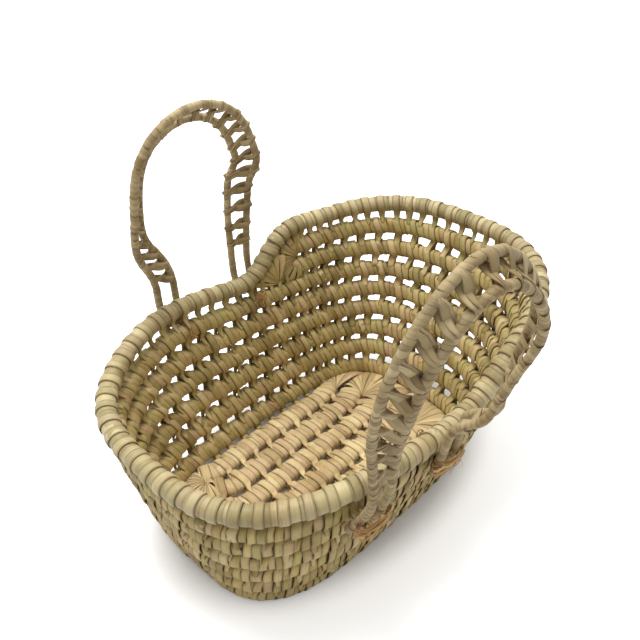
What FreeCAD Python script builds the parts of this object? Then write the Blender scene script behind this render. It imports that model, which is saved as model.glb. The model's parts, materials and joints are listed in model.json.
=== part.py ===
"""Small moses basket of coiled palm leaf, with a raised head end and two hinged carrying handles.

Millimetres. +X points to the raised head end, +Y to the left side as seen from the foot end,
+Z up. The origin is on the ground, under the middle stitches of the floor.
"""
import FreeCAD, Part
import math
import os
from FreeCAD import Vector

# rim: the centre line of the thick top coil, seen from above a superellipse
RIM_HALF_LENGTH = 230.0
RIM_HALF_WIDTH = 155.0
RIM_POWER = 2.8
RIM_DIAMETER = 19.0
RIM_CORE_DIAMETER = 13.0
RIM_LOW = 165.0               # height of the rim at the foot end and just before the step
RIM_SIDE_RISE = 13.0          # the long sides stand a little higher between the handles
RIM_SIDE_RISE_X = -105.0
RIM_SIDE_RISE_SPREAD = 75.0
RIM_HEAD_START = 207.0        # height just past the step
RIM_HEAD_END = 222.0          # height at the head end
STEP_START_X = 14.0
STEP_END_X = 78.0
WALL_LOW = 165.0              # height at which the wall reaches the rim's outline, foot end
WALL_HIGH = 222.0             # the same at the head end
WALL_RISE_START_X = -40.0

# base: the centre line of the lowest wall coil
BASE_CENTRE_X = -19.0
BASE_HALF_LENGTH = 175.0
BASE_HALF_WIDTH = 105.0
BASE_POWER = 3.7
FLARE_POWER = 0.85            # below 1 the wall flares more near the base

# wall coils
LOW_ROWS = 6                  # full turns of coil between the floor and the low rim
HEAD_ROWS = 2                 # extra turns that only go round the head end
COIL_HALF_THICKNESS = 8.5
COIL_HALF_HEIGHT = 9.0
FIRST_ROW_Z = 14.0
STITCH_HALF_THICKNESS = 2.5
STITCH_HALF_HEIGHT = 3.4
NARROW_STITCH_HALF_HEIGHT = 1.6      # in the head end and right under the rim
HEAD_TURN_X = 78.0            # where the two head coils turn back into each other
HEAD_TURN_GAP = 3.5
RING_POINTS = 30
HEAD_POINTS = 17

# floor: six coils side by side, joined at their ends by fans of long stitches
FLOOR_ROWS = 6
FLOOR_PITCH = 30.5
FLOOR_COIL_HALF_WIDTH = 11.2
FLOOR_COIL_HALF_HEIGHT = 8.8
FLOOR_COIL_Z = 8.0
FLOOR_STITCH_WIDTH = 5.2
FLOOR_STITCH_HEIGHT = 13.0
FAN_THICKNESS = 14.0
FAN_GAP = 2.2                 # from the slanted ends of the coils to the fans
FLOOR_EDGE_INSET = 16.8       # from the lowest wall coil's centre line to the fans
FLOOR_EDGE_STITCH_INSET = 12.6
FLOOR_EDGE_STITCH_HALF_WIDTH = 2.8
FLOOR_EDGE_STITCH_Z = 8.0
FLOOR_EDGE_STITCH_HALF_HEIGHT = 5.0
HEAD_ENDS = [82.0, 95.0, 95.0, 95.0, 95.0, 82.0]
FOOT_ENDS = [-128.0, -128.0, -140.0, -140.0, -128.0, -128.0]
CLEARANCE = 0.3

# handles: two wrapped cords each, laced together like a ladder
CORD_DIAMETER = 8.4
CORD_SPACING = 22.0
RUNG_DIAMETER = 4.0
RUNG_PITCH = 21.0
PIVOT_Z = 186.0
PIVOT_Y = 171.0
HANDLE_POINTS = 25
TWIST_HEIGHT = 120.0          # the laced band lies flat at its feet and has turned by this height
TAIL_BOTTOM_Z = 136.0
TAIL_TOP_DROP = 14.5          # the cord folds in this gap, so the handle can hang down outside
TAIL_CLEARANCE = 0.5
TAIL_OFF_WALL = 3.0
LASHING_Z = 152.0
LASHING_DIAMETER = 7.0
LASHING_LENGTH = 40.0
KNOT_LENGTH = 12.0
KNOT_OFF_WALL = 3.0

# each spine goes from the foot-end leg to the head-end leg: x, lean towards the middle, height
HANDLES = {
    "left": {
        "side": 1, "twist": -45.0,
        "spine": [(-80, 0, 0), (-108, 11, 76), (-111, 20, 122), (-102, 26, 167), (-69, 29, 195),
                  (-24, 26, 195), (11, 20, 169), (32, 11, 127), (22, 0, 0)],
    },
    "right": {
        "side": -1, "twist": 45.0,
        "spine": [(-130, 0, 0), (-149, -17, 100), (-143, -31, 163), (-102, -41, 203), (-44, -44, 173),
                  (-13, -41, 117), (-19, -31, 67), (-34, -17, 22), (-34, 0, 0)],
    },
}

UP = Vector(0, 0, 1)


def save(shape, name):
    """Write one node."""
    shape.exportStep("parts/" + name + ".step")


def superellipse(half_length, half_width, power, turn):
    """Point of a superellipse in the XY plane; turn runs from 0 to 2 pi."""
    angle = math.atan2(half_width * math.sin(turn), half_length * math.cos(turn))
    across = abs(math.cos(angle) / half_length) ** power
    along = abs(math.sin(angle) / half_width) ** power
    radius = (across + along) ** (-1.0 / power)
    return radius * math.cos(angle), radius * math.sin(angle)


def smooth_step(value, start, end):
    """0 before start, 1 after end, and an S curve between them."""
    part = min(max((value - start) / (end - start), 0.0), 1.0)
    return part * part * (3.0 - 2.0 * part)


def low_rim_height(x):
    """Height of the rim if the head end weren't raised."""
    spread = (x - RIM_SIDE_RISE_X) / RIM_SIDE_RISE_SPREAD
    return RIM_LOW + RIM_SIDE_RISE * math.exp(-spread * spread)


def rim_height(x):
    """Height of the rim's centre line."""
    along_head = (x - STEP_END_X) / (RIM_HALF_LENGTH - STEP_END_X)
    head = RIM_HEAD_START + (RIM_HEAD_END - RIM_HEAD_START) * along_head
    raised = smooth_step(x, STEP_START_X, STEP_END_X)
    return low_rim_height(x) * (1.0 - raised) + head * raised


def wall_point(turn, z):
    """Point of the wall's middle surface at a height."""
    base_x, base_y = superellipse(BASE_HALF_LENGTH, BASE_HALF_WIDTH, BASE_POWER, turn)
    rim_x, rim_y = superellipse(RIM_HALF_LENGTH, RIM_HALF_WIDTH, RIM_POWER, turn)
    towards_head = smooth_step(rim_x, WALL_RISE_START_X, RIM_HALF_LENGTH)
    full_height = WALL_LOW + (WALL_HIGH - WALL_LOW) * towards_head
    up_wall = max((z - FIRST_ROW_Z) / (full_height - FIRST_ROW_Z), 0.0)
    flare = up_wall ** FLARE_POWER
    x = BASE_CENTRE_X + base_x + (rim_x - BASE_CENTRE_X - base_x) * flare
    y = base_y + (rim_y - base_y) * flare
    return Vector(x, y, z)


def row_height(turn, row):
    """Height of a coil's centre line; rows are counted from 1 and can be fractions."""
    rim_x = superellipse(RIM_HALF_LENGTH, RIM_HALF_WIDTH, RIM_POWER, turn)[0]
    low_pitch = (low_rim_height(rim_x) - FIRST_ROW_Z) / LOW_ROWS
    top_low_row = FIRST_ROW_Z + low_pitch * (LOW_ROWS - 1)
    if row <= LOW_ROWS:
        return FIRST_ROW_Z + low_pitch * (row - 1)
    head_pitch = (rim_height(rim_x) - top_low_row) / (HEAD_ROWS + 1)
    return top_low_row + head_pitch * (row - LOW_ROWS)


def turn_at(rim_x):
    """The turn, on the left side, whose rim point has this x."""
    low, high = 0.0, math.pi
    for _ in range(40):
        middle = 0.5 * (low + high)
        if superellipse(RIM_HALF_LENGTH, RIM_HALF_WIDTH, RIM_POWER, middle)[0] > rim_x:
            low = middle
        else:
            high = middle
    return low


def ring_turns():
    """Evenly spread turns of a full ring."""
    return [2 * math.pi * i / RING_POINTS for i in range(RING_POINTS)]


def head_turns(start_x):
    """Turns from the left side round the head end to the right side."""
    end = turn_at(start_x)
    return [end - 2 * end * i / (HEAD_POINTS - 1) for i in range(HEAD_POINTS)]


def curve_through(points, closed):
    """Smooth curve through points."""
    curve = Part.BSplineCurve()
    curve.interpolate(Points=points, PeriodicFlag=closed)
    return curve


def placed_profile(profile, curve, steady):
    """Move a profile, drawn in XY, to the start of a curve, with its Y axis towards steady."""
    start = curve.value(curve.FirstParameter)
    along = curve.tangent(curve.FirstParameter)[0]
    across = steady.cross(along).normalize()
    upright = along.cross(across).normalize()
    matrix = FreeCAD.Matrix(
        across.x, upright.x, along.x, start.x,
        across.y, upright.y, along.y, start.y,
        across.z, upright.z, along.z, start.z,
        0, 0, 0, 1)
    return profile.transformed(matrix)


def sweep(profile, points, closed, steady=UP):
    """Solid made by a profile that runs along a smooth curve without turning about it."""
    curve = curve_through(points, closed)
    shell = Part.BRepOffsetAPI.MakePipeShell(Part.Wire([curve.toShape()]))
    shell.setBiNormalMode(steady)
    shell.add(placed_profile(profile, curve, steady))
    shell.build()
    shell.makeSolid()
    return shell.shape()


def ellipse_profile(half_width, half_height):
    """Closed ellipse in XY."""
    if half_width >= half_height:
        ellipse = Part.Ellipse(Vector(0, 0, 0), half_width, half_height)
        return Part.Wire([ellipse.toShape()])
    tall = Part.Ellipse(Vector(0, half_height, 0), Vector(half_width, 0, 0), Vector(0, 0, 0))
    return Part.Wire([tall.toShape()])


def polygon_profile(corners):
    """Closed polygon in XY."""
    points = [Vector(x, y, 0) for x, y in corners]
    return Part.makePolygon(points + points[:1])


def ring(row, half_thickness, half_height):
    """Full turn of the wall at a row."""
    points = [wall_point(turn, row_height(turn, row)) for turn in ring_turns()]
    return sweep(ellipse_profile(half_thickness, half_height), points, True)


def head_arc(row, start_x, half_thickness, half_height):
    """Part turn of the wall round the head end."""
    points = [wall_point(turn, row_height(turn, row)) for turn in head_turns(start_x)]
    return sweep(ellipse_profile(half_thickness, half_height), points, False)


def low_arc(end_x, half_thickness, half_height):
    """Part turn round the foot end, halfway between the top coil and the rim."""
    start = turn_at(end_x)
    span = 2 * math.pi - 2 * start
    points = []
    for i in range(RING_POINTS):
        turn = start + span * i / (RING_POINTS - 1)
        rim_x = superellipse(RIM_HALF_LENGTH, RIM_HALF_WIDTH, RIM_POWER, turn)[0]
        height = 0.5 * (row_height(turn, LOW_ROWS) + rim_height(rim_x))
        points.append(wall_point(turn, height))
    return sweep(ellipse_profile(half_thickness, half_height), points, False)


def make_wall():
    """Six full coils, with the long stitches between them."""
    for row in range(1, LOW_ROWS + 1):
        save(ring(row, COIL_HALF_THICKNESS, COIL_HALF_HEIGHT), "wall_coil_%d" % row)
    for row in range(1, LOW_ROWS):
        stitches = ring(row + 0.5, STITCH_HALF_THICKNESS, STITCH_HALF_HEIGHT)
        save(stitches, "wall_stitches_%d" % row)
    under_rim = low_arc(STEP_START_X, STITCH_HALF_THICKNESS, NARROW_STITCH_HALF_HEIGHT)
    save(under_rim, "wall_stitches_6")


def head_end_point(side, angle):
    """Point of the half turn that joins the two head coils; angle 0 is on top."""
    turn = turn_at(HEAD_TURN_X)
    low = row_height(turn, LOW_ROWS + 1)
    high = row_height(turn, LOW_ROWS + 2)
    radius = 0.5 * (high - low)
    z = 0.5 * (high + low) + radius * math.cos(angle)
    point = wall_point(turn, z)
    start = wall_point(turn, high)
    sideways = wall_point(turn_at(HEAD_TURN_X - radius), z) - wall_point(turn, z)
    moved = start + (point - start) + sideways * math.sin(angle)
    return Vector(moved.x, side * moved.y, moved.z)


def make_head():
    """Two short coils that raise the head end, and their half turns."""
    for row in (LOW_ROWS + 1, LOW_ROWS + 2):
        coil = head_arc(row, HEAD_TURN_X + HEAD_TURN_GAP, COIL_HALF_THICKNESS, COIL_HALF_HEIGHT)
        save(coil, "head_coil_%d" % row)
    for row in range(LOW_ROWS, LOW_ROWS + HEAD_ROWS + 1):
        stitches = head_arc(row + 0.5, HEAD_TURN_X + COIL_HALF_HEIGHT,
                            STITCH_HALF_THICKNESS, NARROW_STITCH_HALF_HEIGHT)
        save(stitches, "head_stitches_%d" % row)
    for name, side in (("left", 1), ("right", -1)):
        points = [head_end_point(side, math.pi * i / 8) for i in range(9)]
        round_section = ellipse_profile(COIL_HALF_THICKNESS, COIL_HALF_THICKNESS)
        save(sweep(round_section, points, False, Vector(0, 1, 0)), "head_turn_" + name)


def make_step_fills():
    """Small wads of long stitches that close the corner under the step."""
    for name, side in (("left", 1), ("right", -1)):
        centre = wall_point(turn_at(44.0), 158.0)
        ball = Part.makeSphere(1.0)
        stretch = FreeCAD.Matrix()
        stretch.scale(Vector(13.0, 6.0, 6.5))
        wad = ball.transformGeometry(stretch)
        wad.translate(Vector(centre.x, side * centre.y, centre.z))
        save(wad, "step_fill_" + name)


def make_rim():
    """Round bundle with a leaf wrapping around it."""
    points = []
    for turn in ring_turns():
        x = superellipse(RIM_HALF_LENGTH, RIM_HALF_WIDTH, RIM_POWER, turn)[0]
        points.append(wall_point(turn, rim_height(x)))
    core_radius = RIM_CORE_DIAMETER / 2
    hollow_radius = core_radius + CLEARANCE / 3
    outer = sweep(ellipse_profile(RIM_DIAMETER / 2, RIM_DIAMETER / 2), points, True)
    hollow = sweep(ellipse_profile(hollow_radius, hollow_radius), points, True)
    save(sweep(ellipse_profile(core_radius, core_radius), points, True), "rim_core")
    save(outer.cut(hollow), "rim_wrap")


def floor_bow(x):
    """How much the floor rows draw together towards the ends; 1 in the middle."""
    off_centre = min(abs(x - BASE_CENTRE_X) / BASE_HALF_LENGTH, 0.99)
    return (1.0 - off_centre ** BASE_POWER) ** (1.0 / BASE_POWER)


def floor_line(y, start_x, end_x):
    """Points of a lengthwise line of the floor."""
    points = []
    for i in range(9):
        x = start_x + (end_x - start_x) * i / 8
        points.append(Vector(x, y * floor_bow(x), 0))
    return points


def flat_bottomed_profile():
    """Ellipse with its underside cut flat at the ground."""
    drop = FLOOR_COIL_Z / FLOOR_COIL_HALF_HEIGHT
    flat = FLOOR_COIL_HALF_WIDTH * math.sqrt(1.0 - drop * drop)
    ellipse = Part.Ellipse(Vector(0, FLOOR_COIL_Z, 0), FLOOR_COIL_HALF_WIDTH, FLOOR_COIL_HALF_HEIGHT)
    left = ellipse.parameter(Vector(-flat, 0, 0))
    right = ellipse.parameter(Vector(flat, 0, 0))
    arc = Part.ArcOfEllipse(ellipse, right, left + 2 * math.pi)
    bottom = Part.LineSegment(Vector(-flat, 0, 0), Vector(flat, 0, 0))
    return Part.Wire([arc.toShape(), bottom.toShape()])


def make_floor_coils():
    """Six lengthwise coils, numbered from the left side, and the stitches between them."""
    half = FLOOR_STITCH_WIDTH / 2
    stitch = polygon_profile([(-half, 0), (half, 0), (half, FLOOR_STITCH_HEIGHT), (-half, FLOOR_STITCH_HEIGHT)])
    for row in range(FLOOR_ROWS):
        y = FLOOR_PITCH * ((FLOOR_ROWS - 1) / 2 - row)
        line = floor_line(y, FOOT_ENDS[row], HEAD_ENDS[row])
        save(sweep(flat_bottomed_profile(), line, False), "floor_coil_%d" % (row + 1))
        if row + 1 < FLOOR_ROWS:
            start = max(FOOT_ENDS[row], FOOT_ENDS[row + 1]) + CLEARANCE
            end = min(HEAD_ENDS[row], HEAD_ENDS[row + 1]) - CLEARANCE
            line = floor_line(y - FLOOR_PITCH / 2, start, end)
            save(sweep(stitch, line, False), "floor_stitches_%d" % (row + 1))


def inset_base(inset, z):
    """Points of the lowest coil's centre line, moved inwards."""
    points = []
    for turn in ring_turns():
        x, y = superellipse(BASE_HALF_LENGTH, BASE_HALF_WIDTH, BASE_POWER, turn)
        step = 0.001
        next_x, next_y = superellipse(BASE_HALF_LENGTH, BASE_HALF_WIDTH, BASE_POWER, turn + step)
        length = math.hypot(next_x - x, next_y - y)
        inward_x = -(next_y - y) / length
        inward_y = (next_x - x) / length
        points.append(Vector(BASE_CENTRE_X + x + inset * inward_x, y + inset * inward_y, z))
    return points


def make_fans():
    """Plates of long stitches round the coils' hairpin turns, cut to the floor's outline."""
    outline = curve_through(inset_base(FLOOR_EDGE_INSET, 0), True)
    plate = Part.Face(Part.Wire([outline.toShape()])).extrude(Vector(0, 0, FAN_THICKNESS))
    far = RIM_HALF_LENGTH
    pair = 2 * FLOOR_PITCH
    gap = CLEARANCE / 2
    bands = [
        ("floor_fan_head_1", HEAD_ENDS[0], 1, pair, far),
        ("floor_fan_head_2", HEAD_ENDS[1], 1, 0, pair),
        ("floor_fan_head_3", HEAD_ENDS[3], 1, -pair, 0),
        ("floor_fan_head_4", HEAD_ENDS[5], 1, -far, -pair),
        ("floor_fan_foot_1", FOOT_ENDS[0], -1, pair / 2, far),
        ("floor_fan_foot_2", FOOT_ENDS[2], -1, -pair / 2, pair / 2),
        ("floor_fan_foot_3", FOOT_ENDS[5], -1, -far, -pair / 2),
    ]
    for name, end_x, way, low_y, high_y in bands:
        box = Part.makeBox(far, high_y - low_y - 2 * gap, FAN_THICKNESS)
        start_x = end_x + FAN_GAP if way > 0 else end_x - FAN_GAP - far
        box.translate(Vector(start_x, low_y + gap, 0))
        save(plate.common(box), name)
    edge = inset_base(FLOOR_EDGE_STITCH_INSET, FLOOR_EDGE_STITCH_Z)
    profile = ellipse_profile(FLOOR_EDGE_STITCH_HALF_WIDTH, FLOOR_EDGE_STITCH_HALF_HEIGHT)
    save(sweep(profile, edge, True), "floor_edge_stitches")


def handle_curve(handle):
    """Centre line of a handle."""
    side = handle["side"]
    points = [Vector(x, side * (PIVOT_Y - lean), PIVOT_Z + height) for x, lean, height in handle["spine"]]
    curve = Part.BSplineCurve()
    curve.interpolate(Points=points, InitialTangent=UP, FinalTangent=UP * -1)
    return curve


def cord_offset(handle, curve, parameter):
    """Offset from the centre line to the outer cord: flat at the legs and twisted above them."""
    along = curve.tangent(parameter)[0]
    outward = along.cross(Vector(0, 1, 0)).normalize()
    sideways = Vector(0, 1, 0)
    sideways = (sideways - along * sideways.dot(along)).normalize()
    risen = smooth_step(curve.value(parameter).z - PIVOT_Z, 0.0, TWIST_HEIGHT)
    twist = math.radians(handle["twist"]) * risen
    direction = outward * math.cos(twist) + sideways * math.sin(twist)
    return direction * (CORD_SPACING / 2)


def round_bar(start, end, diameter):
    """Straight bar with round ends."""
    along = end - start
    radius = diameter / 2
    bar = Part.makeCylinder(radius, along.Length, start, along)
    for point in (start, end):
        bar = bar.fuse(Part.makeSphere(radius, point))
    return bar.removeSplitter()


def cord(points):
    """Round cord with a ball at each end."""
    radius = CORD_DIAMETER / 2
    tube = sweep(ellipse_profile(radius, radius), points, False, Vector(0, 1, 0))
    for point in (points[0], points[-1]):
        tube = tube.fuse(Part.makeSphere(radius, point))
    return tube


def make_handle(name, handle):
    """Two cords and the rungs of the lacing between them."""
    curve = handle_curve(handle)
    places = [curve.parameter(point) for point in curve.discretize(Number=HANDLE_POINTS)]
    centres = [curve.value(place) for place in places]
    offsets = [cord_offset(handle, curve, place) for place in places]
    save(cord([c + o for c, o in zip(centres, offsets)]), name + "_handle_outer_cord")
    save(cord([c - o for c, o in zip(centres, offsets)]), name + "_handle_inner_cord")

    count = int(curve.length() / RUNG_PITCH)
    half_rung = CORD_SPACING / 2 - CORD_DIAMETER / 2 - RUNG_DIAMETER / 2 - CLEARANCE
    rungs = []
    for centre in curve.discretize(Number=count + 2)[1:-1]:
        across = cord_offset(handle, curve, curve.parameter(centre)).normalize() * half_rung
        rungs.append(round_bar(centre - across, centre + across, RUNG_DIAMETER))
    save(Part.makeCompound(rungs), name + "_handle_lacing")


def leg_x(handle):
    """x of the four cord ends of a handle."""
    half = CORD_SPACING / 2
    feet = [handle["spine"][0][0], handle["spine"][-1][0]]
    return [[foot - half, foot + half] for foot in feet]


def wall_y(x, z):
    """Half width of the wall's middle surface at a place."""
    low, high = 0.0, math.pi
    for _ in range(40):
        middle = 0.5 * (low + high)
        if wall_point(middle, z).x > x:
            low = middle
        else:
            high = middle
    return wall_point(low, z).y


def make_handle_feet(name, handle):
    """Cord tails outside the wall below the pivots, and the fibre lashings that hold them."""
    radius = CORD_DIAMETER / 2
    top_z = PIVOT_Z - TAIL_TOP_DROP
    part = (LASHING_Z - TAIL_BOTTOM_Z) / (top_z - TAIL_BOTTOM_Z)
    tails = []
    lashings = []
    for pair in leg_x(handle):
        tail_y = 0.0
        for x in pair:
            reach = wall_y(x, TAIL_BOTTOM_Z) + COIL_HALF_THICKNESS + radius + TAIL_OFF_WALL
            top = Vector(x, handle["side"] * PIVOT_Y, top_z)
            bottom = Vector(x, handle["side"] * reach, TAIL_BOTTOM_Z)
            tails.append(round_bar(bottom, top, CORD_DIAMETER))
            tail_y = max(tail_y, reach + (PIVOT_Y - reach) * part)
        middle = 0.5 * (pair[0] + pair[1])
        outside = tail_y + radius + LASHING_DIAMETER / 2 + 2 * TAIL_CLEARANCE
        inside = wall_y(middle, LASHING_Z) - COIL_HALF_THICKNESS - LASHING_DIAMETER / 2 - KNOT_OFF_WALL
        for y, length in ((outside, LASHING_LENGTH), (inside, KNOT_LENGTH)):
            half = length / 2 - LASHING_DIAMETER / 2
            start = Vector(middle - half, handle["side"] * y, LASHING_Z)
            end = Vector(middle + half, handle["side"] * y, LASHING_Z)
            lashings.append(round_bar(start, end, LASHING_DIAMETER))
    save(Part.makeCompound(tails), name + "_handle_tails")
    save(Part.makeCompound(lashings[:2]), name + "_lashing_foot_side")
    save(Part.makeCompound(lashings[2:]), name + "_lashing_head_side")


os.makedirs("parts", exist_ok=True)
make_floor_coils()
make_fans()
make_wall()
make_head()
make_step_fills()
make_rim()
for handle_name, handle_shape in HANDLES.items():
    make_handle(handle_name, handle_shape)
    make_handle_feet(handle_name, handle_shape)
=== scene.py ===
"""Looks of a small moses basket: every coil, stitch and cord is a wrapped palm leaf.

Metres, in the frame of the CAD model: +X to the raised head end, +Y to the left side, +Z up.
A coil is followed from the foot end clockwise, as seen from above. On the way, "up" points to the
next coil (to +Y on the floor) and "face" points into the basket.
"""
import json
import math
import bpy
import numpy as np
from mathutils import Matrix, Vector

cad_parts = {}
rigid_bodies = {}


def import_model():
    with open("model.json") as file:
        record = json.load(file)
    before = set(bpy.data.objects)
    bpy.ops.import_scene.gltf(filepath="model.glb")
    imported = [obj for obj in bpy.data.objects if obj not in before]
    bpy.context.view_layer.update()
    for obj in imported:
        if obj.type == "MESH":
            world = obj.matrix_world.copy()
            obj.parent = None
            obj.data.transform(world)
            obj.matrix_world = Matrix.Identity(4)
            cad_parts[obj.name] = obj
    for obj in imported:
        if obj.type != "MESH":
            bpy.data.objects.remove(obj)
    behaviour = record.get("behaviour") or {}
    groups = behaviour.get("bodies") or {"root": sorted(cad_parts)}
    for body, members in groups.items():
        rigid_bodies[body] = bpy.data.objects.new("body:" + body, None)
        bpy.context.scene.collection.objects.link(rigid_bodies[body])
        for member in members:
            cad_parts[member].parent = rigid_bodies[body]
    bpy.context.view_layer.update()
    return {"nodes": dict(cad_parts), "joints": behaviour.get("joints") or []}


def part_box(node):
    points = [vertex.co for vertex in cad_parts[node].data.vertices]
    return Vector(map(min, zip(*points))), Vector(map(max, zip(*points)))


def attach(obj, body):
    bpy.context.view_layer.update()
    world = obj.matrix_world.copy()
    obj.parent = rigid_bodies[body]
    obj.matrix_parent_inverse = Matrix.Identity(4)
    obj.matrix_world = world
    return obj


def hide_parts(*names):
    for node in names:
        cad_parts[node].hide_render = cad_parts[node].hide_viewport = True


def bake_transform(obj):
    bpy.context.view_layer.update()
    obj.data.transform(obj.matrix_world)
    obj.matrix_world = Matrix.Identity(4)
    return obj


MM = 0.001
SEED = 41
ANY_ANGLE = 6.28              # a random phase is drawn from 0 to here
X_AXIS, Y_AXIS, Z_AXIS = np.eye(3)

# coils
WALL_HALF_THICKNESS = 7.7 * MM
WALL_HALF_HEIGHT = 8.6 * MM
FLOOR_HALF_WIDTH = 10.6 * MM
FLOOR_HALF_HEIGHT = 6.9 * MM
RIM_RADIUS = 8.9 * MM
WALL_SQUARENESS = 0.72        # below 1 the cross-section has flatter sides
FLOOR_SQUARENESS = 0.85
WRAP_STEPS = 20               # points round a wrap
CORE_STEPS = 16
CORE_DEPTH = 1.0 * MM         # the dark bundle lies this far under the wraps
PATH_STEP = 3.0 * MM          # spacing of the points of a coil's centre line
SLICES = 180                  # cuts that find the centre line of a ring
FLOOR_SLICES = 24
WRAP_WIDTH = 7.6 * MM
WRAP_OVERLAP = 1.2 * MM
WRAP_DEPTH = 1.2 * MM         # a wrap's underside lies this far inside the coil's surface
CROWN = 0.75 * MM             # a wrap's middle stands this far above the surface
SHINGLE = 1.3 * MM            # the outer lower edge of a wall wrap stands this far out
SLIT = 0.16                   # share of its width that a wall wrap loses on the outside
RIM_WIDTHS = np.array((5.0, 7.0, 9.0, 11.0, 14.0, 17.0)) * MM
RIM_STEPS = 28

# long stitches
UNIT = 24.0 * MM              # one group of wraps and its long stitch
DENSE_UNIT = 15.0 * MM        # the same beside the step
HEAD_WALL_X = 0.12            # from here to the head end the windows are nearly square
DENSE_X = 0.085
DENSE_SPREAD = 0.045
STITCH_WIDTH = 8.6 * MM
STITCH_ROOM = 0.42            # share of a stitch's width that its coil keeps free on each side
RIM_STITCH_WIDTH = 9.0 * MM
FLOOR_STITCH_WIDTH = 10.5 * MM
WALL_LEAN = 2.6 * MM          # how far a wrap slants along its coil from bottom to top
RIM_LEAN = 0.8 * MM
FLOOR_LEAN = 0.6 * MM
WALL_GAP_LEAN = 2.0 * MM      # how far a stitch's tip lies along the coil from its wrap
HEAD_GAP_LEAN = 0.8 * MM
FLOOR_GAP_LEAN = -7.0 * MM
WALL_SWELL = 6.0 * MM         # how far a coil bulges into a window
LOW_RIM_SWELL = 2.0 * MM
HEAD_SWELL = 0.8 * MM
EDGE_SWELL = 4.0 * MM
FLOOR_SWELL = 6.5 * MM
HEAD_WALL_SWELL = 0.12        # share of a full coil's swell that is left at the head end
FLOOR_TAPER = (0.12, 0.3, 0.66)   # widths of a leg, from its tip up, as shares of the stitch's
WALL_TAPER = (0.2, 0.55, 0.8)
HEAD_TAPER = (0.7, 0.9, 1.0)
TRIANGLE_CHANCE = 0.7         # how many wall stitches have a small triangle beside them, pale as a painted highlight

# fans of the floor and of the step
STEP_X = 70 * MM              # the rim's stitches reach the head coil from here on
FLOOR_MIDDLE_Z = 8.0 * MM
FAN_HALF_HEIGHT = 6.9 * MM
FAN_LEAF_ANGLE = 0.215
FAN_EDGE_GAP = 9.5 * MM
FAN_CORNER = 3 * MM
FAN_CORNER_LAP = 0.14         # angle by which a corner fan runs into its neighbour
FAN_CORE_DEPTH = 1.1 * MM
FLOOR_SIDE_Y = 70 * MM        # beyond this the lowest wall coil is stitched to the floor coils
TURN_REACH = 54 * MM
TURN_END = 1.75
TURN_LEAF_ANGLE = 0.19
APEX_BACK = 8 * MM            # the fan starts this far inside the gap between the two coils
STEP_REACH = 34 * MM
STEP_START, STEP_END = 0.05, 1.9
STEP_LEAF_ANGLE = 0.24
STEP_HALF_HEIGHT = 5.0 * MM

# cross-section of a leaf strip: across from -1 to 1, and height from -1 (underside) to 1 (crown)
PROFILE = np.array([(-1, 0.0), (-0.92, 0.7), (-0.45, 1.0), (0.45, 0.95),
                    (0.92, 0.6), (1, 0.0), (0.5, -1.0), (-0.5, -1.0)])

# handles
CORD_RADIUS = 3.7 * MM
CORD_STEPS = 12
CORD_WRAP = 4.6 * MM
LACE_PITCH = 21.0 * MM
FOOT_TOP_ABOVE_PIVOT = 16 * MM
LACE_WIDTH = 7.5 * MM
HANDLE_SLICES = 150

# camera
CAMERA_AZIMUTH = -46.05
CAMERA_ELEVATION = 35.78
CAMERA_DISTANCE = 0.72
CAMERA_TARGET = Vector((0.001, 0.021, 0.187))
CAMERA_LENS = 39.6
SENSOR = 36.0

# studio
FLOOR_REACH = 30.0
FLOOR_COLOUR = (0.9, 0.9, 0.9, 1)
FLOOR_ROUGHNESS = 0.9
FOOTPRINT = (0.20, 0.125)              # half size of the oval that the basket covers
FLOOR_GLOW = 0.42
GLOW_FROM, GLOW_TO = 0.9, 1.25         # the glow rises between these multiples of the footprint
SKY_DIRECTION = (0.30, 0.20, 0.93)     # the soft light comes from above and behind
SKY_DARK_FROM = -0.3
SKY_DARK = 0.06
SKY_BRIGHT = 1.22
KEY_PLACE = (-0.15, 0.35, 1.75)
KEY_TARGET = (0, 0, 0.1)
KEY_SIZE = 0.8
KEY_POWER = 23

for leftover in list(bpy.data.objects):
    bpy.data.objects.remove(leftover)
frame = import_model()
draw = np.random.default_rng(SEED)
vary = draw.uniform               # vary(low, high) draws one number


# ---- centre lines from the CAD model

def node_mesh(node):
    """Vertices and edges of a CAD node."""
    mesh = frame["nodes"][node].data
    points = np.empty(len(mesh.vertices) * 3)
    mesh.vertices.foreach_get("co", points)
    edges = np.empty(len(mesh.edges) * 2, dtype=np.int32)
    mesh.edges.foreach_get("vertices", edges)
    return points.reshape(-1, 3), edges.reshape(-1, 2)


def crossings(points, edges, origin, normal):
    """Points where edges cross a plane."""
    height = (points - origin) @ normal
    first, second = edges.T
    above, below = height[first], height[second]
    hit = (above < 0) != (below < 0)
    share = above[hit] / (above[hit] - below[hit])
    start = points[first[hit]]
    return start + (points[second[hit]] - start) * share[:, None]


def middle(values):
    """Middle of the lowest and highest value."""
    return 0.5 * (values.min() + values.max())


def spun_centres(node, origin, first, second, angles):
    """Centres of a node's cuts by half planes that turn from first towards second about origin."""
    points, edges = node_mesh(node)
    axis = np.cross(first, second)
    found = []
    for angle in angles:
        forward = first * math.cos(angle) + second * math.sin(angle)
        normal = np.cross(axis, forward)
        cut = crossings(points, edges, origin, normal) - origin
        cut = cut[cut @ forward > 0]
        if len(cut) > 3:
            found.append(origin + forward * middle(cut @ forward) + axis * middle(cut @ axis))
    return np.array(found)


def x_centres(node, count):
    """Centres of a lengthwise node's cuts by planes across it."""
    low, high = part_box(node)
    points, edges = node_mesh(node)
    found = []
    for x in np.linspace(low.x + 1e-4, high.x - 1e-4, count):
        cut = crossings(points, edges, np.array((x, 0, 0)), X_AXIS)
        found.append((x, middle(cut[:, 1]), middle(cut[:, 2])))
    return np.array(found)


def circle(count):
    """Angles of a full turn in equal steps."""
    return np.linspace(0, 2 * np.pi, count, endpoint=False)


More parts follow.
